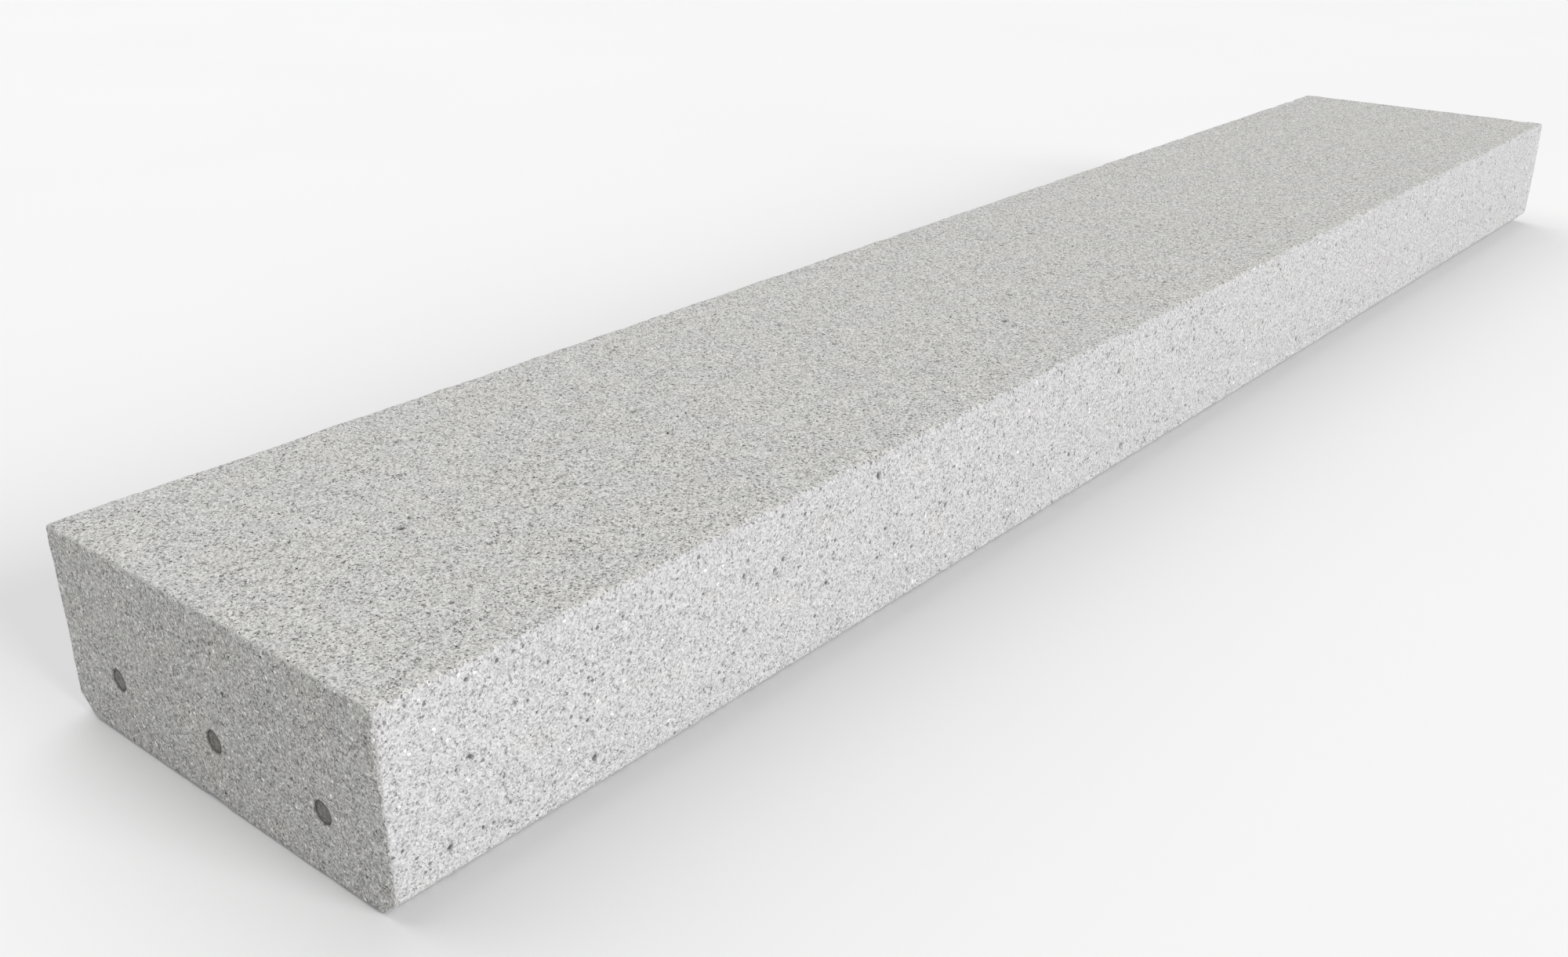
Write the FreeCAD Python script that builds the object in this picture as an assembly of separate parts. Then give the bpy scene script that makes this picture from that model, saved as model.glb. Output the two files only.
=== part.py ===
import FreeCAD, Part
import os

# Precast prestressed concrete lintel: a solid rectangular concrete beam, cast round three
# straight steel wires that run its whole length near the underside, where it is in tension.
#
# Frame: origin at the centre of the underside, +X along the beam, +Z up in use.
# Sizes are in millimetres.

LENGTH = 1000.0
WIDTH = 175.0        # along Y, the thickness of the wall that it carries
HEIGHT = 71.0        # one masonry course
CHAMFER = 7.5        # leg of the 45 degree chamfer along both bottom edges

WIRE_DIAMETER = 8.0
WIRE_PITCH = 56.0    # across the beam, from one wire's axis to the next
WIRE_COVER = 20.0    # concrete between the wires and the underside
WIRE_RECESS = 0.5    # how far a cut wire draws in behind the end face

# One wire per name, from the -Y side to the +Y side.
WIRE_NAMES = ["front_wire", "middle_wire", "back_wire"]

ALONG_BEAM = FreeCAD.Vector(1, 0, 0)


def wire_axis_positions():
    """Y and Z of each wire's axis, spread evenly about the beam's middle plane."""
    height = WIRE_COVER + WIRE_DIAMETER / 2
    first = -WIRE_PITCH * (len(WIRE_NAMES) - 1) / 2
    return [(first + index * WIRE_PITCH, height) for index in range(len(WIRE_NAMES))]


def round_bar(y, z, length):
    """A bar of the wires' diameter along X, centred on the beam's length."""
    start = FreeCAD.Vector(-length / 2, y, z)
    return Part.makeCylinder(WIRE_DIAMETER / 2, length, start, ALONG_BEAM)


def beam_section():
    """The beam's outline in the plane of its -X end: a rectangle with two bottom chamfers."""
    half = WIDTH / 2
    outline = [
        (-half + CHAMFER, 0),
        (half - CHAMFER, 0),
        (half, CHAMFER),
        (half, HEIGHT),
        (-half, HEIGHT),
        (-half, CHAMFER),
    ]
    corners = [FreeCAD.Vector(-LENGTH / 2, y, z) for y, z in outline]
    return Part.Face(Part.makePolygon(corners + corners[:1]))


def concrete_body():
    """The beam itself, with a bore for each wire from end to end."""
    body = beam_section().extrude(ALONG_BEAM * LENGTH)
    for y, z in wire_axis_positions():
        body = body.cut(round_bar(y, z, LENGTH))
    return body


def wire(y, z):
    """One wire, bonded to the wall of its bore and a little short of both end faces."""
    return round_bar(y, z, LENGTH - 2 * WIRE_RECESS)


def make_parts():
    parts = {"concrete_body": concrete_body()}
    for name, (y, z) in zip(WIRE_NAMES, wire_axis_positions()):
        parts[name] = wire(y, z)
    return parts


os.makedirs("parts", exist_ok=True)
for node, shape in make_parts().items():
    shape.exportStep("parts/" + node + ".step")
    print(node, "valid:", shape.isValid(), "solids:", len(shape.Solids), "volume mm3:", round(shape.Volume))
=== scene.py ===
import itertools
import math

import bpy
import numpy as np
from mathutils import Euler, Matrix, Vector
from mathutils.geometry import delaunay_2d_cdt


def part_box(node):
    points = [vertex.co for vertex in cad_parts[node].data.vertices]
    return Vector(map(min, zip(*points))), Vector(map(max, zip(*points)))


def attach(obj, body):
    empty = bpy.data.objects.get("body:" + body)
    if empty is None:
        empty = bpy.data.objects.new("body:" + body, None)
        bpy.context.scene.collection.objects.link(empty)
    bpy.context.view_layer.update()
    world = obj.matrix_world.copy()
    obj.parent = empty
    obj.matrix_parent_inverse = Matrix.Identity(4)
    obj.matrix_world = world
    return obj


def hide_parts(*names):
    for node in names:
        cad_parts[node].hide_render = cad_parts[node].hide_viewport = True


# A precast concrete lintel: one long concrete beam cast round three steel wires.
# Metres throughout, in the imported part's frame: +X along the beam, +Z up, origin under its middle.

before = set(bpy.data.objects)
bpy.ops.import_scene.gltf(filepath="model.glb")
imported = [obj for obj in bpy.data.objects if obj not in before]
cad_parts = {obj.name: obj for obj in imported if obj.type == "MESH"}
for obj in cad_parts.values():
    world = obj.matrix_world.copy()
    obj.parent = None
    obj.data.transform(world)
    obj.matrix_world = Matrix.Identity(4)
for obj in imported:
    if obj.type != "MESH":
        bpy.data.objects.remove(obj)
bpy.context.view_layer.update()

MM = 0.001
BODY = "root"
WIRE_NODES = ("front_wire", "middle_wire", "back_wire")

LOW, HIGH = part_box("concrete_body")
HALF_LENGTH, HALF_WIDTH, HEIGHT = HIGH.x, HIGH.y, HIGH.z


def chamfer_leg():
    """The bottom chamfer's leg, read from the edge of the CAD underside."""
    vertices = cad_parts["concrete_body"].data.vertices
    just_above = LOW.z + 0.1 * MM
    return HALF_WIDTH - max(v.co.y for v in vertices if v.co.z < just_above)


def wire_line(node):
    """Y, Z and radius of a wire, from its CAD box."""
    low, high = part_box(node)
    return (low.y + high.y) / 2, (low.z + high.z) / 2, (high.y - low.y) / 2


CHAMFER = chamfer_leg()

# The section, anticlockwise with Y to the right and Z up, from the underside's front corner.
SECTION = np.array([
    (-HALF_WIDTH + CHAMFER, 0),
    (HALF_WIDTH - CHAMFER, 0),
    (HALF_WIDTH, CHAMFER),
    (HALF_WIDTH, HEIGHT),
    (-HALF_WIDTH, HEIGHT),
    (-HALF_WIDTH, CHAMFER),
])


# ---------------------------------------------------------------- noise

# Primes that scatter neighbouring cells and seeds over all 32-bit numbers.
AXIS_PRIMES = np.array([73856093, 19349663, 83492791])
SEED_PRIME = 6151
FIRST_MIX, SECOND_MIX = 2654435761, 2246822519
LOW_32_BITS = 0xFFFFFFFF
SEED_SHIFT = 57.31           # in cells, so that each seed's lattice lies elsewhere


def cell_values(cells, seed):
    """A number from -1 to 1 for each whole-numbered cell, always the same for the same seed."""
    key = cells @ AXIS_PRIMES + SEED_PRIME * seed
    key = (key * FIRST_MIX) & LOW_32_BITS
    key = ((key ^ (key >> 15)) * SECOND_MIX) & LOW_32_BITS
    return (key ^ (key >> 13)) / 2 ** 31 - 1


def lattice_noise(points, cell, seed):
    """Smooth noise from -1 to 1 at each point, with features about one cell across."""
    scaled = np.asarray(points) / cell + SEED_SHIFT * seed
    base = np.floor(scaled).astype(np.int64)
    part = scaled - base
    part = part * part * (3 - 2 * part)          # an S-curve, so that no cell's edge shows
    total = np.zeros(len(scaled))
    for corner in itertools.product((0, 1), repeat=3):
        weight = np.prod(np.where(corner, part, 1 - part), axis=1)
        total += weight * cell_values(base + corner, seed)
    return total


# ---------------------------------------------------------------- rings, faces and meshes

def circle(middle, radius, count):
    """Points evenly spaced round a circle."""
    angles = math.tau * np.arange(count) / count
    return middle + radius * np.stack([np.cos(angles), np.sin(angles)], axis=1)


def ring_at(x, middle, radius, count):
    """A circle of points about a line along the beam, at X."""
    return np.column_stack([np.full(count, x), circle(middle, radius, count)])


def band(first, second):
    """The faces between two rings of vertices, given as lists of their numbers."""
    after = [(k + 1) % len(first) for k in range(len(first))]
    return [(first[k], second[k], second[n], first[n]) for k, n in enumerate(after)]


def fan(tip, ring):
    """The triangles between one vertex and the ring about it."""
    return [(tip, a, b) for a, b in zip(ring, ring[1:] + ring[:1])]


def numbered_rings(count, size, first):
    """Vertex numbers of that many rings, stored one after the other from number first."""
    return [list(range(first + k * size, first + (k + 1) * size)) for k in range(count)]


def new_mesh(name, points, faces, values):
    """A smooth-shaded mesh. values are numbers at the vertices, by name, for its material."""
    mesh = bpy.data.meshes.new(name)
    mesh.from_pydata(np.asarray(points).tolist(), [], faces)
    mesh.polygons.foreach_set("use_smooth", [True] * len(mesh.polygons))
    for key, numbers in values.items():
        attribute = mesh.attributes.new(key, "FLOAT", "POINT")
        attribute.data.foreach_set("value", numbers.astype(np.float32))
    mesh.update()
    return mesh


# ---------------------------------------------------------------- outlines of flat faces

def inward_normals(corners):
    """For each edge of an anticlockwise outline, the direction at right angles to it, inwards."""
    along = np.roll(corners, -1, axis=0) - corners
    along /= np.linalg.norm(along, axis=1)[:, None]
    return np.stack([-along[:, 1], along[:, 0]], axis=1)


def inset_outline(corners, distance):
    """A convex outline's corners, anticlockwise, moved inwards by distance."""
    inward = inward_normals(corners)
    before = np.roll(inward, 1, axis=0)
    mitre = (before + inward) / (1 + np.sum(before * inward, axis=1))[:, None]
    return corners + distance * mitre


def outline_points(corners, spacing):
    """Points along a closed outline, each corner among them, about spacing apart."""
    points = []
    for start, end in zip(corners, np.roll(corners, -1, axis=0)):
        count = max(1, round(float(np.linalg.norm(end - start)) / spacing))
        points.extend(start + (end - start) * k / count for k in range(count))
    return np.array(points)


def depth_inside(corners, points):
    """How far inside a convex anticlockwise outline each point lies, or less than 0 outside."""
    edges = zip(corners, inward_normals(corners))
    return np.min([(points - corner) @ inward for corner, inward in edges], axis=0)


# ---------------------------------------------------------------- flat faces with pits

# Points in rows beside every edge, so that the worn arrises are round: (distance in, spacing).
EDGE_SPACING = 1.8 * MM
EDGE_ROWS = ((0.6 * MM, 1.8 * MM), (1.5 * MM, 2.1 * MM), (2.8 * MM, 2.5 * MM))

RIM_POINTS = 24                            # round each bore
RIM_ROWS = (0.35 * MM, 1.1 * MM)           # rings of points outside a bore's rim
RIM_ROOM = 2.2 * MM                        # from a bore's rim to the loose points

# The loose points: how far each is moved off its grid, and how far it stays from a pit's middle.
POINT_SCATTER = 0.28                       # of the spacing
PIT_CLEARANCE = 1.45                       # of the pit's radius
GRID_CLEARANCE = 0.25                      # of the spacing, on top of that

SMALLEST_PIT = 0.5 * MM                    # radius
LARGEST_PIT = 1.7 * MM
PIT_SPREAD = 0.5                           # of the radius's logarithm
PIT_ROOM = 3.6 * MM                        # between a pit's middle and the nearest edge
PIT_TO_BORE = 2.5 * MM                     # between their rims
PIT_TO_PIT = 0.5 * MM                      # past one and a half times their radii
# The least and the most of what each pit's shape is drawn from.
PIT_STRETCH = (1.0, 1.35)                  # length over width
PIT_DEPTH = (0.75, 1.1)                    # over the radius
PIT_OUTLINE = (0.86, 1.14)                 # an uneven rim's radius over the pit's
PIT_TURN = (-0.2, 0.2)                     # of the step from one rim point to the next
# A pit's waist and rim: (points, share of the radius, share of the depth).
PIT_RINGS = ((5, 0.5, 0.8), (9, 1.0, 0.0))


def scattered_points(corners, spacing, rng):
    """A loose triangular grid of points inside a convex outline."""
    low, high = corners.min(axis=0), corners.max(axis=0)
    rows = np.arange(low[1], high[1], spacing * math.sin(math.pi / 3))
    columns = np.arange(low[0], high[0], spacing)
    across, up = np.meshgrid(columns, rows)
    across = across + spacing / 2 * (np.arange(len(rows)) % 2)[:, None]
    points = np.stack([across.ravel(), up.ravel()], axis=1)
    points += rng.uniform(-POINT_SCATTER, POINT_SCATTER, points.shape) * spacing
    return points[depth_inside(corners, points) > 0]


def place_pits(corners, per_square_metre, holes, rng):
    """Air-bubble pits as (middle, radius), clear of the edges, the bores and each other."""
    room = inset_outline(corners, PIT_ROOM)
    low, high = room.min(axis=0), room.max(axis=0)
    count = round(float(np.prod(high - low)) * per_square_metre)
    pits = []
    for _ in range(count):
        middle = rng.uniform(low, high)
        radius = min(SMALLEST_PIT * math.exp(abs(rng.normal(0, PIT_SPREAD))), LARGEST_PIT)
        clear = all(math.dist(middle, m) > 1.5 * (radius + r) + PIT_TO_PIT for m, r in pits)
        clear &= all(math.dist(middle, m) > radius + r + PIT_TO_BORE for m, r in holes)
        if clear and depth_inside(room, middle[None])[0] > 0:
            pits.append((middle, radius))
    return pits


def pit_points(middle, radius, rng):
    """A pit's points and how deep each lies: the bottom, a waist and an uneven rim."""
    turn = rng.uniform(0, math.tau)
    spin = np.array([[math.cos(turn), math.sin(turn)], [-math.sin(turn), math.cos(turn)]])
    stretch = rng.uniform(*PIT_STRETCH)
    depth = radius * rng.uniform(*PIT_DEPTH)
    points, depths = [middle], [depth]
    for count, size, share in PIT_RINGS:
        angles = math.tau * (np.arange(count) + rng.uniform(*PIT_TURN, count)) / count
        reach = radius * size * rng.uniform(*PIT_OUTLINE, count)
        outline = np.stack([reach * np.cos(angles) * stretch, reach * np.sin(angles)], axis=1)
        points.extend(middle + outline @ spin)
        depths.extend([depth * share] * count)
    return np.array(points), np.array(depths)


def make_room(points, pits, holes, spacing):
    """Drops the points that crowd a pit or a bore, and adds rings about each bore."""
    for middle, radius in pits:
        room = PIT_CLEARANCE * radius + GRID_CLEARANCE * spacing
        points = points[np.linalg.norm(points - middle, axis=1) > room]
    for middle, radius in holes:
        points = points[np.linalg.norm(points - middle, axis=1) > radius + RIM_ROOM]
        rings = [circle(middle, radius + gap, RIM_POINTS) for gap in RIM_ROWS]
        points = np.concatenate([points] + rings)
    return points


def triangulate(points, loops):
    """Triangles over the points that keep the loops' edges. The loops' own points come first.

    Returns the numbers of the points in use, and the triangles between those.
    """
    edges, first = [], 0
    for loop in loops:
        edges.extend((first + k, first + (k + 1) % len(loop)) for k in range(len(loop)))
        first += len(loop)
    # In millimetres, so that the tolerance is far below any spacing here.
    places = [Vector(point) for point in points / MM]
    _, _, triangles, sources, _, _ = delaunay_2d_cdt(places, edges, [], 1, 1e-6)
    return [source[0] for source in sources], np.array(triangles)


def face_mesh(corners, spacing, pits_per_square_metre, holes, rng):
    """Points, pit depths and triangles that cover one flat face, in the face's own plane.

    holes are (middle, radius) of the bores that open in the face.
    """
    rows = [outline_points(inset_outline(corners, inset), step) for inset, step in EDGE_ROWS]
    field = inset_outline(corners, EDGE_ROWS[-1][0] + 0.5 * spacing)
    loose = np.concatenate(rows + [scattered_points(field, spacing, rng)])
    pits = place_pits(corners, pits_per_square_metre, holes, rng)
    loops = [outline_points(corners, EDGE_SPACING)]
    loops += [circle(middle, radius, RIM_POINTS) for middle, radius in holes]
    level = loops + [make_room(loose, pits, holes, spacing)]
    parts = [(points, np.zeros(len(points))) for points in level]
    parts += [pit_points(middle, radius, rng) for middle, radius in pits]
    points, depths = (np.concatenate(column) for column in zip(*parts))
    used, triangles = triangulate(points, loops)
    points, depths = points[used], depths[used]
    for middle, radius in holes:
        from_hole = np.linalg.norm(points[triangles].mean(axis=1) - middle, axis=1)
        triangles = triangles[from_hole > radius]
    return points, depths, triangles


# ---------------------------------------------------------------- the beam's faces

# One side of the beam per edge of the section: (point spacing, pits per square metre, moulded).
SIDES = (
    (4.8 * MM, 2000, 1.0),    # underside
    (2.8 * MM, 2000, 1.0),    # back chamfer
    (3.0 * MM, 3500, 1.0),    # back
    (3.1 * MM, 1600, 0.0),    # top, struck off level and never moulded
    (2.8 * MM, 3500, 1.0),    # front
    (2.8 * MM, 2000, 1.0),    # front chamfer
)
END_SPACING = 2.1 * MM
END_PITS = 500               # per square metre
SEED = 71

WELD_GRID = 0.001 * MM
AT_END = 0.0001 * MM         # how near an end's plane a point counts as in it
TOUCHING = 0.000001 * MM     # the same, for an outline


def long_face(number, rng):
    """The beam's face on the section's edge of that number."""
    spacing, pits, moulded = SIDES[number]
    start, end = SECTION[number], SECTION[(number + 1) % len(SECTION)]
    reach = float(np.linalg.norm(end - start))
    corners = np.array([(0, 0), (reach, 0), (reach, 2 * HALF_LENGTH), (0, 2 * HALF_LENGTH)])
    flat, depths, triangles = face_mesh(corners, spacing, pits, [], rng)
    across = np.array([0, *(end - start) / reach])
    along = np.array([1.0, 0, 0])
    places = np.array([-HALF_LENGTH, *start]) + flat[:, :1] * across + flat[:, 1:] * along
    return {"places": places, "triangles": triangles, "pit": depths, "moulded": moulded, "sawn": 0.0}


def end_face(side, rng):
    """The beam's end face at -X, for side -1, or at +X, for side 1."""
    bores = [wire_line(node) for node in WIRE_NODES]
    holes = [(np.array((side * y, z)), radius + MOUTH_CHIP) for y, z, radius in bores]
    corners = (SECTION * (side, 1))[::side]
    flat, depths, triangles = face_mesh(corners, END_SPACING, END_PITS, holes, rng)
    places = np.column_stack([np.full(len(flat), side * HALF_LENGTH), side * flat[:, 0], flat[:, 1]])
    return {"places": places, "triangles": triangles, "pit": depths, "moulded": 0.0, "sawn": 1.0}


def beam_faces():
    """The flat faces of the sharp-edged beam, in the part's frame."""
    rng = np.random.default_rng(SEED)
    sides = [long_face(number, rng) for number in range(len(SIDES))]
    return sides + [end_face(side, rng) for side in (-1, 1)]


def weld(faces):
    """Joins the faces along their shared edges. Where faces meet, their values are averaged."""
    places = np.concatenate([face["places"] for face in faces])
    keys = np.round(places / WELD_GRID).astype(np.int64)
    _, first, index = np.unique(keys, axis=0, return_index=True, return_inverse=True)
    index = index.ravel()
    values = {}
    for name in ("pit", "moulded", "sawn"):
        unwelded = [np.broadcast_to(face[name], len(face["places"])) for face in faces]
        values[name] = np.bincount(index, np.concatenate(unwelded)) / np.bincount(index)
    triangles, offset = [], 0
    for face in faces:
        triangles.append(index[face["triangles"] + offset])
        offset += len(face["places"])
    return places[first], np.concatenate(triangles), values


# ---------------------------------------------------------------- worn arrises and skin

# The radius of a worn arris.
WORN_RADIUS = 1.4 * MM
LEAST_WORN, MOST_WORN = 0.6 * MM, 4.5 * MM
# Its unevenness, as (size, strength, seed).
WAVES = (11 * MM, 0.6 * MM, 3)
RIPPLES = (3.5 * MM, 0.5 * MM, 4)
# Its chips, and the noise at which a chip starts and is deepest.
CHIP_SIZE = 15 * MM
CHIP_SEED = 9
DEEPEST_CHIP = 2.4 * MM                    # added to the radius
CHIPS_FROM, CHIPS_FULL = 0.35, 0.75

# The skin's hollows, which keep it inside the true surface: (size, mean depth, seed).
SWELLS = (45 * MM, 0.03 * MM, 5)
GRAIN = (3.2 * MM, 0.03 * MM, 6)
OPEN_GRAIN = (5.5 * MM, 0.03 * MM, 7)      # where no mould has pressed the skin smooth


def nearest_in_section(points, radius):
    """The nearest point, in Y and Z, of the section shrunk by each point's radius."""
    mitre = inset_outline(SECTION, 1.0) - SECTION
    best = np.array(points)
    gap = np.full(len(points), np.inf)
    gap[depth_inside(SECTION, points) >= radius - TOUCHING] = 0
    for k in range(len(SECTION)):
        after = (k + 1) % len(SECTION)
        start = SECTION[k] + radius[:, None] * mitre[k]
        end = SECTION[after] + radius[:, None] * mitre[after]
        way = end - start
        share = np.sum((points - start) * way, axis=1) / np.sum(way * way, axis=1)
        near = start + np.clip(share, 0, 1)[:, None] * way
        distance = np.linalg.norm(points - near, axis=1)
        closer = distance < gap
        best[closer] = near[closer]
        gap[closer] = distance[closer]
    return best


def unevenness(places, size, strength, seed):
    """Smooth unevenness from -strength to strength, with features of about the given size."""
    return strength * lattice_noise(places, size, seed)


def hollows(places, size, mean_depth, seed):
    """Smooth hollows from 0 to twice the mean depth, with features of about the given size."""
    return mean_depth + unevenness(places, size, mean_depth, seed)


def worn_radius(places):
    """How round the nearest arris has worn: uneven, and chipped here and there."""
    uneven = unevenness(places, *WAVES) + unevenness(places, *RIPPLES)
    chip_share = (lattice_noise(places, CHIP_SIZE, CHIP_SEED) - CHIPS_FROM) / (CHIPS_FULL - CHIPS_FROM)
    chips = DEEPEST_CHIP * np.clip(chip_share, 0, 1)
    return np.clip(WORN_RADIUS + uneven + chips, LEAST_WORN, MOST_WORN)


def round_arrises(places):
    """Wears the beam's sharp edges round. Returns the new places and the outward directions."""
    radius = worn_radius(places)
    core = np.empty_like(places)
    core[:, 0] = np.clip(places[:, 0], -HALF_LENGTH + radius, HALF_LENGTH - radius)
    core[:, 1:] = nearest_in_section(places[:, 1:], radius)
    outward = places - core
    outward /= np.linalg.norm(outward, axis=1)[:, None]
    return core + radius[:, None] * outward, outward


def skin_depth(places, values):
    """How far each point lies below the true surface: faint unevenness, grain and pits."""
    open_grain = hollows(places, *OPEN_GRAIN) * (1 - values["moulded"])
    return hollows(places, *SWELLS) + hollows(places, *GRAIN) + open_grain + values["pit"]


# ---------------------------------------------------------------- bores and the whole beam

MOUTH_CHIP = 0.30 * MM       # how much wider than the wire each bore's mouth is
MOUTH_FLARE = 0.03 * MM      # the same, just inside the mouth
MOUTH_DEPTH = 0.45 * MM      # from the end face to there
THROAT_DEPTH = 3 * MM        # from the end face to the true bore
MOUTH_REACH = 2.5 * MM       # how far round a mouth its rim is dipped, rust-stained and darkened as painted shade
RIM_DIP = 0.156 * MM         # mean depth of the dip, at the rim itself
RIM_BREAKS = (1.5 * MM, 0.12 * MM, 8)      # its unevenness: size, strength, seed
FULL_PIT = 0.4 * MM          # a pit this deep gets the darkest painted shade


def mouth_vertices(places, x, middle, radius):
    """The end face's vertices round one bore, in the order of the bore's own rings."""
    at_end = np.nonzero(np.abs(places[:, 0] - x) < AT_END)[0]
    order = []
    for point in circle(middle, radius + MOUTH_CHIP, RIM_POINTS):
        gaps = np.linalg.norm(places[at_end, 1:] - point, axis=1)
        order.append(int(at_end[np.argmin(gaps)]))
    return order


def bore(places, node, first):
    """The wall of a wire's bore: its points, numbered from first, and its faces.

    The faces join the wall to the bore's mouths in the end faces, whose points are in places.
    """
    y, z, radius = wire_line(node)
    mouth, throat = HALF_LENGTH - MOUTH_DEPTH, HALF_LENGTH - THROAT_DEPTH
    stations = ((-mouth, MOUTH_FLARE), (-throat, 0), (throat, 0), (mouth, MOUTH_FLARE))
    points = [ring_at(x, (y, z), radius + extra, RIM_POINTS) for x, extra in stations]
    near_end, far_end = (mouth_vertices(places, x, (y, z), radius) for x in (-HALF_LENGTH, HALF_LENGTH))
    rings = [near_end, *numbered_rings(len(stations), RIM_POINTS, first), far_end]
    faces = [face for pair in itertools.pairwise(rings) for face in band(*pair)]
    return np.concatenate(points), faces


def near_mouth(places, node):
    """1 at the rim of a wire's bore in either end face, falling to 0 a little way off."""
    y, z, radius = wire_line(node)
    distance = np.hypot(places[:, 1] - y, places[:, 2] - z) - radius
    at_ends = np.abs(np.abs(places[:, 0]) - HALF_LENGTH) < AT_END
    return at_ends * np.clip(1 - distance / MOUTH_REACH, 0, 1)


def concrete_mesh():
    """The beam: worn and pitted faces, and three bores whose rims broke a little at the cut."""
    sharp, triangles, values = weld(beam_faces())
    places, outward = round_arrises(sharp)
    places -= outward * skin_depth(sharp, values)[:, None]
    # Nearness to each bore's mouth: it dips the rim, and the material paints rust stain and painted
    # shade there.
    rust_and_shade = np.max([near_mouth(sharp, node) for node in WIRE_NODES], axis=0)
    dip = rust_and_shade ** 4 * (RIM_DIP + unevenness(sharp, *RIM_BREAKS))
    places[:, 0] -= np.sign(sharp[:, 0]) * dip

    points, faces = places, triangles.tolist()
    for node in WIRE_NODES:
        wall, wall_faces = bore(sharp, node, len(points))
        points = np.concatenate([points, wall])
        faces.extend(wall_faces)

    on_walls = len(points) - len(places)
    attributes = {
        # cavity is how deep a point lies in a pit, which the material darkens as painted shade.
        "cavity": np.append(np.clip(values["pit"] / FULL_PIT, 0, 1), np.zeros(on_walls)),
        "moulded": np.append(values["moulded"], np.zeros(on_walls)),
        "sawn": np.append(values["sawn"], np.ones(on_walls)),
        # The bore walls take the full rust stain and painted shade of the recess.
        "rust_and_shade": np.append(rust_and_shade, np.ones(on_walls)),
    }
    return new_mesh("concrete_beam", points, faces, attributes)


# ---------------------------------------------------------------- wires

WIRE_SIDES = 28
WIRE_SLACK = 0.03 * MM       # keeps the steel's skin just inside the bore's
WIRE_RINGS = 25              # along the plain length
PLAIN_FROM = 20 * MM         # from each end to the plain length
# A wire's end from its middle outwards: (distance from the end, share of the radius). The cut
# face is flat as far as a thin burr that is turned over its edge.
WIRE_END = ((0.0, 0.3), (0.0, 0.55), (0.0, 0.78), (0.0, 0.92), (0.12 * MM, 1.0), (0.6 * MM, 1.0))
CUT_HOLLOW = 0.1 * MM
CUT_ROUGHNESS = (1.3 * MM, 0.07 * MM)      # size and strength
CUT_SEED = 20                # of the first wire; each has its own


def wire_stations(low, high):
    """X and the share of the radius of each ring of a wire's points, from end to end."""
    plain = np.linspace(low + PLAIN_FROM, high - PLAIN_FROM, WIRE_RINGS)
    stations = [(low + inset, share) for inset, share in WIRE_END]
    stations += [(x, 1.0) for x in plain]
    return stations + [(high - inset, share) for inset, share in reversed(WIRE_END)]


def wire_mesh(node):
    """A drawn steel wire whose sawn ends are a little hollow and uneven."""
    low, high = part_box(node)
    y, z, radius = wire_line(node)
    radius -= WIRE_SLACK
    stations = wire_stations(low.x, high.x)
    rings = [ring_at(x, (y, z), radius * share, WIRE_SIDES) for x, share in stations]
    points = np.concatenate([[(low.x, y, z)], *rings, [(high.x, y, z)]])
    from_axis = np.hypot(points[:, 1] - y, points[:, 2] - z) / radius
    from_end = np.minimum(points[:, 0] - low.x, high.x - points[:, 0])
    in_cut = from_end < AT_END
    roughness = unevenness(points, *CUT_ROUGHNESS, CUT_SEED + WIRE_NODES.index(node))
    points[:, 0] -= np.sign(points[:, 0]) * in_cut * (CUT_HOLLOW + roughness)

    numbers = numbered_rings(len(rings), WIRE_SIDES, 1)
    faces = fan(0, numbers[0][::-1]) + fan(len(points) - 1, numbers[-1])
    for nearer, farther in itertools.pairwise(numbers):
        faces.extend(band(farther, nearer))
    # rim is each point's share of the radius, for the material's painted shade round the cut's rim.
    return new_mesh(node + "_steel", points, faces, {"rim": from_axis})


# ---------------------------------------------------------------- material nodes

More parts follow.
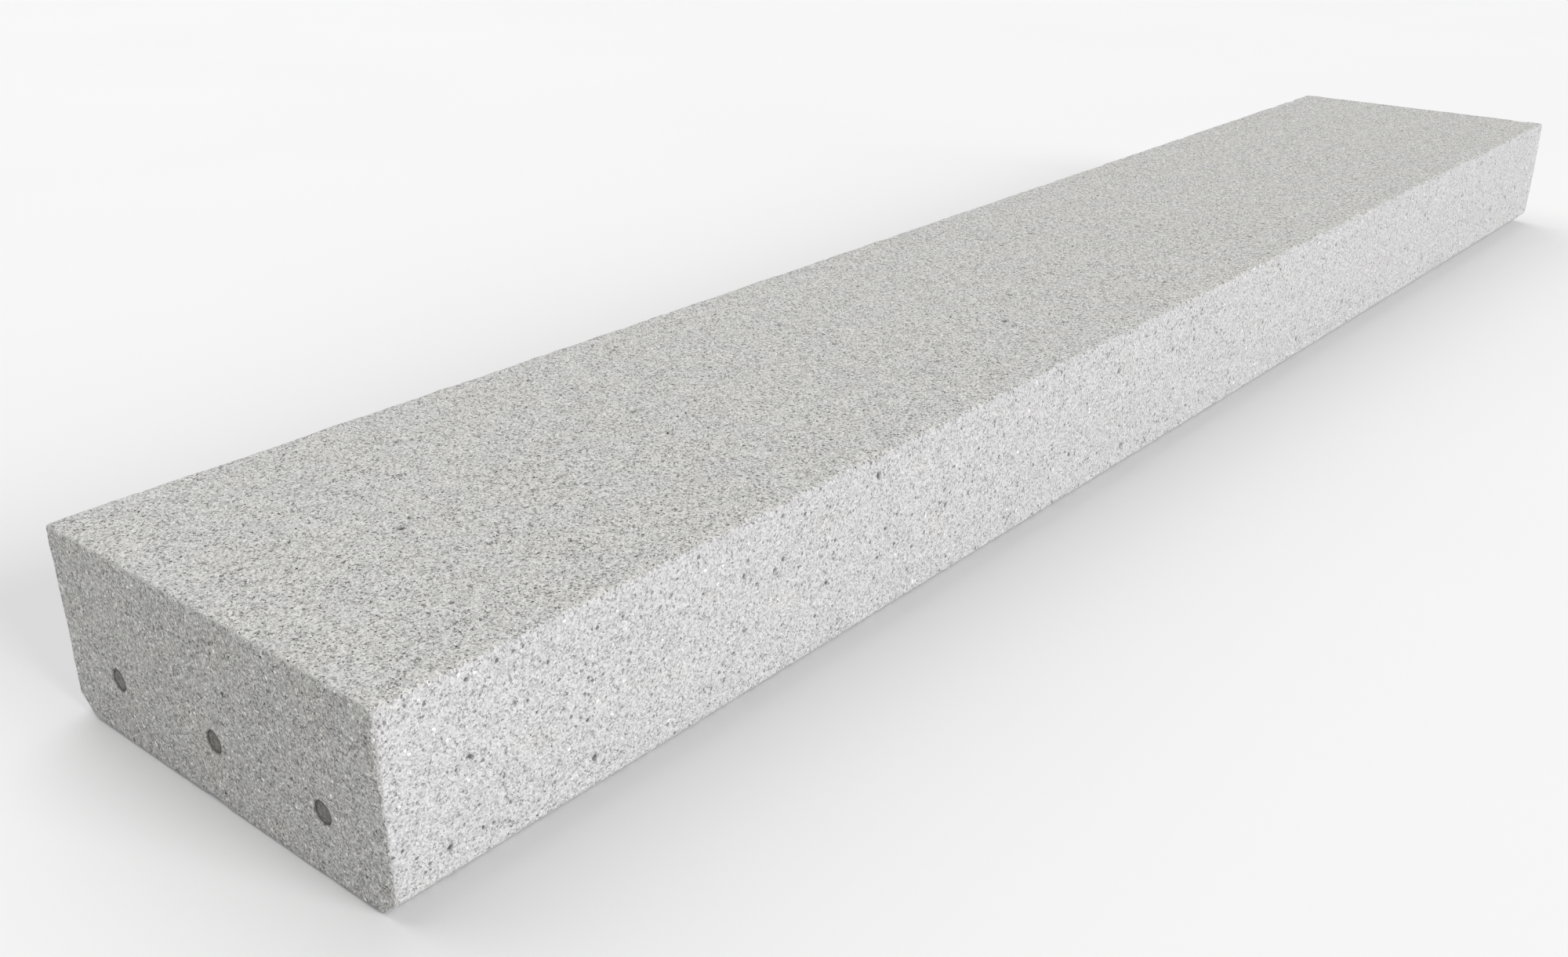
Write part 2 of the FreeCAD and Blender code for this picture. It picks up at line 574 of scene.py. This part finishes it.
class Graph:
    """A material's nodes, added and linked one at a time."""

    def __init__(self, name):
        self.material = bpy.data.materials.new(name)
        self.material.use_nodes = True
        self.nodes = self.material.node_tree.nodes
        self.links = self.material.node_tree.links
        self.shader = next(n for n in self.nodes if n.type == "BSDF_PRINCIPLED")

    def add(self, kind, inputs, **settings):
        """Adds a node. Each input is a number, a colour or another node's output socket."""
        node = self.nodes.new(kind)
        for key, value in settings.items():
            setattr(node, key, value)
        for key, value in inputs.items():
            self.feed(node.inputs[key], value)
        return node

    def feed(self, socket, value):
        if isinstance(value, bpy.types.NodeSocket):
            self.links.new(value, socket)
        else:
            socket.default_value = value

    def math(self, operation, a, b=0.0, c=0.0):
        return self.add("ShaderNodeMath", {0: a, 1: b, 2: c}, operation=operation).outputs[0]

    def line(self, value, slope, offset):
        """value times slope, plus offset."""
        return self.math("MULTIPLY_ADD", value, slope, offset)

    def between(self, value, start, end, low=0.0, high=1.0):
        """Maps value smoothly from start..end to low..high, held at both ends."""
        inputs = {"Value": value, "From Min": start, "From Max": end, "To Min": low, "To Max": high}
        return self.add("ShaderNodeMapRange", inputs, interpolation_type="SMOOTHSTEP").outputs[0]

    def blend(self, kind, factor, a, b):
        """Mixes two colours."""
        node = self.add("ShaderNodeMix", {0: factor, 6: a, 7: b}, data_type="RGBA", blend_type=kind)
        return node.outputs[2]

    def grey(self, value):
        return self.add("ShaderNodeCombineColor", {0: value, 1: value, 2: value}).outputs[0]

    def place(self):
        """Where each point of the surface lies, in metres."""
        return self.add("ShaderNodeTexCoord", {}).outputs["Object"]

    def attribute(self, name):
        return self.add("ShaderNodeAttribute", {}, attribute_name=name).outputs["Fac"]

    def vector(self, operation, inputs):
        return self.add("ShaderNodeVectorMath", inputs, operation=operation).outputs[0]

    def warped(self, place, size, reach):
        """The place pushed about by up to half of reach, so that round shapes turn ragged."""
        inputs = {"Vector": place, "Scale": 1 / size, "Detail": 1.0}
        push = self.add("ShaderNodeTexNoise", inputs).outputs["Color"]
        push = self.vector("SUBTRACT", {0: push, 1: (0.5, 0.5, 0.5)})
        push = self.vector("SCALE", {0: push, "Scale": reach})
        return self.vector("ADD", {0: place, 1: push})

    def noise(self, place, size, detail=2.0, roughness=0.5):
        inputs = {"Vector": place, "Scale": 1 / size, "Detail": detail, "Roughness": roughness}
        return self.add("ShaderNodeTexNoise", inputs).outputs[0]

    def cells(self, place, size):
        """Irregular grains of about the given size: each point's distance from its grain's
        middle, in grain sizes, and three random numbers for the grain."""
        node = self.add("ShaderNodeTexVoronoi", {"Vector": place, "Scale": 1 / size})
        parts = self.add("ShaderNodeSeparateColor", {"Color": node.outputs["Color"]})
        return node.outputs["Distance"], parts.outputs

    def spots(self, place, share, size, edge, core):
        """Soft-edged spots in that share of the cells of a size: 1 inside core, 0 beyond edge."""
        distance, numbers = self.cells(place, size)
        chosen = self.math("LESS_THAN", numbers[2], share)
        return self.math("MULTIPLY", chosen, self.between(distance, edge, core))

    def relief(self, height, depth):
        """Bumps on the surface, depth for each 1 of height."""
        bump = self.add("ShaderNodeBump", {"Height": height, "Strength": 1.0, "Distance": depth})
        self.feed(self.shader.inputs["Normal"], bump.outputs[0])


# ---------------------------------------------------------------- concrete

COOL_GREY = (0.503, 0.500, 0.504, 1)      # against the mould's walls
WARM_GREY = (0.505, 0.504, 0.490, 1)      # struck or sawn
COOL_TINT = (0.99, 0.995, 1.02, 1)
WARM_TINT = (1.02, 1.005, 0.98, 1)
# Rust stain and painted shade at each bore's rim and inside it.
RUST_AND_BORE_SHADE = (0.17, 0.16, 0.14, 1)

# Each kind of grain: its size, and how far its palest and darkest grains stand from the mean.
FINE_SAND = (0.58 * MM, 0.50)
COARSE_SAND = (1.15 * MM, 0.21)
POWDER = (0.42 * MM, 0.45)
# The product of two random numbers is seldom large. This slope and offset turn it into a tone
# whose mean is about 0, with most grains a little pale and a few very dark.
FEW_DARK = (-1.85, 0.46)
# A coarse grain's tone grows from its edge to its core: where those are, in grain sizes, and the
# tone's strength at each.
COARSE_FADE = (0.75, 0.25, 0.4, 1.3)

# How far the grains show in a struck face, and how much more in a moulded and in a sawn one. A
# mould leaves a skin of cement over the sand, so they show less there.
BARENESS = (1.30, -0.42, 0.04)
# How common pores are, in the same way, and the share of the cells of each size that hold one.
PORE_SHARE = (0.5, 0.5, -0.35)
SMALL_PORE_CELLS = 0.11
LARGE_PORE_CELLS = 0.07
SMALL_PORE_SHADE = 0.8                    # next to a large one's
STONE_CELLS = 0.02
STONE_CELLS_SAWN = 0.13                   # more, where a saw has cut through them

# How much darker holes are, as painted shade in pores and pits, and how much paler stones are, as a
# share of the tone around them.
HOLE_SHADE = -0.58
PIT_SHADE = 1.25                          # next to a large pore's
STONE_GAIN = 0.50
RUST_AND_SHADE_FROM = 0.72                         # of the rust_and_shade attribute, which is 1 at a bore's rim and on its walls
# How strongly the rust stain and painted shade cover the concrete.
RUST_AND_SHADE_STRENGTH = 0.6

# Each kind of spot: the size of its cells, then its soft edge and its core in cell sizes.
SMALL_PORES = (1.1 * MM, 0.46, 0.16)
LARGE_PORES = (2.1 * MM, 0.40, 0.20)
PALE_STONES = (1.8 * MM, 0.40, 0.30)

# Sizes of the patches of tint and of the low lumps, and how the grains' outlines are broken up.
TINT_SIZE = 22 * MM
LUMP_SIZE = 2.6 * MM
RAGGED_SIZE = 0.8 * MM
RAGGED_REACH = 1.2 * MM

# The relief's depth, and the heights that go into it next to the lumps' own.
RELIEF_DEPTH = 0.14 * MM
PALE_GRAIN_HEIGHT = 0.5
COARSE_DOME = -2.4                        # from a grain's middle outwards
FINE_DOME = -1.2
PORE_DEPTH = -1.8

CEMENT_ROUGHNESS = 0.82
POWDER_ROUGHNESS = 0.15                   # more, on the palest powder


def by_finish(g, moulded, sawn, values):
    """A number for how a face was made: one in a struck face, and more if moulded or sawn."""
    struck, more_moulded, more_sawn = values
    return g.line(sawn, more_sawn, g.line(moulded, more_moulded, struck))


def sand(g, place, sawn, size, contrast):
    """One size of sand: how much paler or darker than the mean the grain at each point is, and
    the point's distance from the grain's middle. Where a saw has cut, pale and dark grains are
    alike in number; elsewhere most are pale and a few very dark."""
    distance, numbers = g.cells(place, size)
    even = g.math("ADD", g.math("ADD", numbers[0], numbers[1]), -1.0)
    few_dark = g.line(g.math("MULTIPLY", numbers[0], numbers[1]), *FEW_DARK)
    tone = g.add("ShaderNodeMix", {0: sawn, 2: few_dark, 3: even}, data_type="FLOAT").outputs[0]
    return g.math("MULTIPLY", tone, contrast), distance


def air_pores(g, place, moulded, sawn):
    """Small pores: many where the mould's wall was, some on the top, few where a saw has cut."""
    share = by_finish(g, moulded, sawn, PORE_SHARE)
    small = g.spots(place, g.math("MULTIPLY", share, SMALL_PORE_CELLS), *SMALL_PORES)
    large = g.spots(place, g.math("MULTIPLY", share, LARGE_PORE_CELLS), *LARGE_PORES)
    return g.math("MAXIMUM", g.math("MULTIPLY", small, SMALL_PORE_SHADE), large)


def cement_colour(g, place, moulded):
    """The mean colour, with faint cooler and warmer patches."""
    base = g.blend("MIX", moulded, WARM_GREY, COOL_GREY)
    tint = g.blend("MIX", g.noise(place, TINT_SIZE, 3.0), COOL_TINT, WARM_TINT)
    return g.blend("MULTIPLY", 1.0, base, tint)


def concrete_material():
    """Fine pale-grey concrete: packed sand grains, air pores and pits painted dark as shade, and a few
    larger pale stones.
    """
    g = Graph("concrete_surface")
    place = g.place()
    ragged = g.warped(place, RAGGED_SIZE, RAGGED_REACH)
    moulded, sawn = g.attribute("moulded"), g.attribute("sawn")

    fine_tone, fine_distance = sand(g, ragged, sawn, *FINE_SAND)
    coarse_tone, coarse_distance = sand(g, ragged, sawn, *COARSE_SAND)
    coarse_tone = g.math("MULTIPLY", coarse_tone, g.between(coarse_distance, *COARSE_FADE))
    powder_size, powder_contrast = POWDER
    powder = g.noise(place, powder_size, 2.0, 0.6)
    powder_tone = g.line(powder, 2 * powder_contrast, -powder_contrast)
    grains = g.math("ADD", g.math("ADD", coarse_tone, fine_tone), powder_tone)
    tones = g.line(grains, by_finish(g, moulded, sawn, BARENESS), 1.0)

    pores = air_pores(g, ragged, moulded, sawn)
    pits = g.math("MULTIPLY", g.attribute("cavity"), PIT_SHADE)
    # Painted shade in the pores and pits.
    tones = g.math("MULTIPLY", tones, g.line(g.math("MAXIMUM", pores, pits), HOLE_SHADE, 1.0))
    pale_stones = g.spots(ragged, g.line(sawn, STONE_CELLS_SAWN, STONE_CELLS), *PALE_STONES)
    tones = g.math("MULTIPLY", tones, g.line(pale_stones, STONE_GAIN, 1.0))
    colour = g.blend("MULTIPLY", 1.0, cement_colour(g, place, moulded), g.grey(tones))
    # Rust stain and painted shade at each bore's rim and on its walls.
    rusted_and_shaded = g.math("MULTIPLY", g.between(g.attribute("rust_and_shade"), RUST_AND_SHADE_FROM, 1.0), RUST_AND_SHADE_STRENGTH)
    g.feed(g.shader.inputs["Base Color"], g.blend("MIX", rusted_and_shaded, colour, RUST_AND_BORE_SHADE))
    g.feed(g.shader.inputs["Roughness"], g.line(powder, POWDER_ROUGHNESS, CEMENT_ROUGHNESS))
    g.shader.inputs["Specular IOR Level"].default_value = 0.3

    # Each grain is a low dome, on low lumps, with the pores sunk into them.
    domes = g.line(coarse_distance, COARSE_DOME, g.math("MULTIPLY", fine_distance, FINE_DOME))
    height = g.math("ADD", g.noise(place, LUMP_SIZE, 1.0), g.line(grains, PALE_GRAIN_HEIGHT, domes))
    g.relief(g.line(pores, PORE_DEPTH, height), RELIEF_DEPTH)
    return g.material


# ---------------------------------------------------------------- steel and floor

STEEL_DARK = (0.135, 0.132, 0.124, 1)
STEEL_PALE = (0.275, 0.272, 0.26, 1)
STEEL_RUST = (0.20, 0.13, 0.08, 1)
HALF_AS_BRIGHT = (0.5, 0.5, 0.5, 1)

TARNISH_SIZE = 1.6 * MM
SCORE_SIZE = 0.5 * MM
RUST_SIZE = 3.5 * MM
SPECK_SIZE = 0.5 * MM
DARK_RIM = (0.62, 0.95)      # shares of the radius where the painted shade at the cut's rim starts and is darkest
SAW_MARK_SIZE = 2.0 * MM     # along a mark; across it a mark is much narrower
SAW_MARKS_ACROSS = 9         # to one mark's length
SAW_MARK_DEPTH = 0.12 * MM

FLOOR_TONES = (0.79, 0.81)
FLOOR_PATCH = 0.4            # metres across


def wire_material():
    """Drawn steel wire gone dull and mottled and a little rusty, with painted shade round the rim of its
    cut, where it meets the bore.
    """
    g = Graph("wire_steel_surface")
    place = g.place()
    tarnish = g.noise(place, TARNISH_SIZE, 4.0, 0.6)
    colour = g.blend("MIX", g.between(tarnish, 0.38, 0.62), STEEL_DARK, STEEL_PALE)
    scored = g.between(g.noise(place, SCORE_SIZE, 2.0, 0.7), 0.35, 0.65, 0.78, 1.2)
    colour = g.blend("MULTIPLY", 1.0, colour, g.grey(scored))
    # Painted shade round the rim of the cut face, where it meets the bore's wall.
    rim = g.between(g.attribute("rim"), *DARK_RIM)
    colour = g.blend("MULTIPLY", rim, colour, HALF_AS_BRIGHT)
    rust = g.between(g.noise(place, RUST_SIZE, 3.0), 0.56, 0.72, 0.0, 0.5)
    colour = g.blend("MIX", rust, colour, STEEL_RUST)
    from_speck, _ = g.cells(place, SPECK_SIZE)
    specks = g.between(from_speck, 0.25, 0.0, 0.0, 0.5)
    colour = g.blend("MULTIPLY", specks, colour, HALF_AS_BRIGHT)
    g.feed(g.shader.inputs["Base Color"], colour)
    g.feed(g.shader.inputs["Roughness"], g.between(tarnish, 0.2, 0.8, 0.5, 0.8))
    g.shader.inputs["Metallic"].default_value = 0.35
    # The saw's marks run level across the cut face.
    scale = (1, 1, SAW_MARKS_ACROSS)
    squeezed = g.add("ShaderNodeMapping", {"Vector": place, "Scale": scale}).outputs[0]
    g.relief(g.noise(squeezed, SAW_MARK_SIZE, 3.0, 0.7), SAW_MARK_DEPTH)
    return g.material


def floor_material():
    """A plain pale studio floor, very faintly uneven in tone."""
    g = Graph("pale_floor")
    shade = g.between(g.noise(g.place(), FLOOR_PATCH, 2.0), 0.0, 1.0, *FLOOR_TONES)
    g.feed(g.shader.inputs["Base Color"], g.grey(shade))
    g.shader.inputs["Roughness"].default_value = 0.9
    return g.material


# ---------------------------------------------------------------- pieces and stage

FLOOR_REACH = 3.2            # level floor round the beam
FLOOR_RINGS = (0.001, 1.0, FLOOR_REACH)      # radii; the pinhole is under the beam
BACKDROP_SIDES = 128
BEND = 1.6                   # radius of the curve that carries the floor up into the wall
BEND_STEPS = 16
WALL_TOP = 2.8


def add_to_scene(name, data):
    """A new object that shows the data."""
    thing = bpy.data.objects.new(name, data)
    bpy.context.scene.collection.objects.link(thing)
    return thing


def add_piece(name, mesh, material, node):
    """A piece of the lintel that stands for a CAD node."""
    mesh.materials.append(material)
    piece = add_to_scene(name, mesh)
    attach(piece, BODY)
    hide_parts(node)


def add_backdrop(name, profile, material):
    """A stage piece: the profile, as (radius, height) from the inside out, swept round the beam."""
    points = [(*p, height) for radius, height in profile for p in circle((0, 0), radius, BACKDROP_SIDES)]
    rings = numbered_rings(len(profile), BACKDROP_SIDES, 0)
    faces = [face for pair in itertools.pairwise(rings) for face in band(*pair)]
    mesh = new_mesh(name, points, faces, {})
    mesh.materials.append(material)
    backdrop = add_to_scene(name, mesh)
    return backdrop


def add_floor_and_wall():
    """A round level floor, and a wall that closes off the horizon and neither blocks nor
    returns light."""
    material = floor_material()
    add_backdrop("floor", [(radius, 0.0) for radius in FLOOR_RINGS], material)
    profile = [(FLOOR_REACH, 0.0)]
    for step in range(1, BEND_STEPS + 1):
        angle = math.pi / 2 * step / BEND_STEPS
        profile.append((FLOOR_REACH + BEND * math.sin(angle), BEND * (1 - math.cos(angle))))
    profile.append((FLOOR_REACH + BEND, WALL_TOP))
    wall = add_backdrop("wall", profile, material)
    wall.visible_shadow = False
    wall.visible_diffuse = False
    wall.visible_glossy = False


# ---------------------------------------------------------------- light and camera

SKY = 0.46
# Wide lamps far off: (side, height in degrees, a little towards +X, strength, width in degrees).
# Side -1 is in front of the beam and side 1 is behind it.
KEY = (-1, 20, 0.08, 2.60, 30)
FILL = (1, 50, 0.15, 1.70, 80)

# The camera stands before the beam's near end, at its front left, and looks along and down it.
CAMERA_PLACE = (-HALF_LENGTH - 0.1932, -HALF_WIDTH - 0.3051, 0.2894)
CAMERA_DOWN = 24.25                                   # degrees below level
CAMERA_HEADING = 39.73                                # degrees from +X towards +Y
CAMERA_LENS = 35.71                                   # for a sensor 36 mm wide
CAMERA_SHIFT = (-0.0100, 0.0051)


def add_far_lamp(name, side, rise, towards_end, strength, width):
    """A large soft lamp far off, before or behind the beam."""
    light = bpy.data.lights.new(name, "SUN")
    light.energy = strength
    light.angle = math.radians(width)
    rise = math.radians(rise)
    direction = Vector((towards_end, side * math.cos(rise), math.sin(rise)))
    add_to_scene(name, light).rotation_euler = direction.to_track_quat("Z", "Y").to_euler()


def add_sky():
    """A pale even sky, the same from every side."""
    world = bpy.data.worlds.new("studio")
    world.use_nodes = True
    background = world.node_tree.nodes["Background"]
    background.inputs["Color"].default_value = (1.0, 1.0, 1.0, 1)
    background.inputs["Strength"].default_value = SKY
    bpy.context.scene.world = world


def add_camera():
    data = bpy.data.cameras.new("camera")
    data.sensor_width = 36.0
    data.lens = CAMERA_LENS
    data.shift_x, data.shift_y = CAMERA_SHIFT
    data.clip_start = 0.01
    camera = add_to_scene("camera", data)
    camera.location = CAMERA_PLACE
    tilt = math.radians(90 - CAMERA_DOWN)
    camera.rotation_euler = Euler((tilt, 0, math.radians(CAMERA_HEADING - 90)))
    bpy.context.scene.camera = camera


add_piece("concrete_beam", concrete_mesh(), concrete_material(), "concrete_body")
steel = wire_material()
for wire_node in WIRE_NODES:
    add_piece(wire_node + "_steel", wire_mesh(wire_node), steel, wire_node)
add_floor_and_wall()
add_sky()
add_far_lamp("key", *KEY)
add_far_lamp("fill", *FILL)
add_camera()
bpy.context.scene.view_settings.view_transform = "Standard"
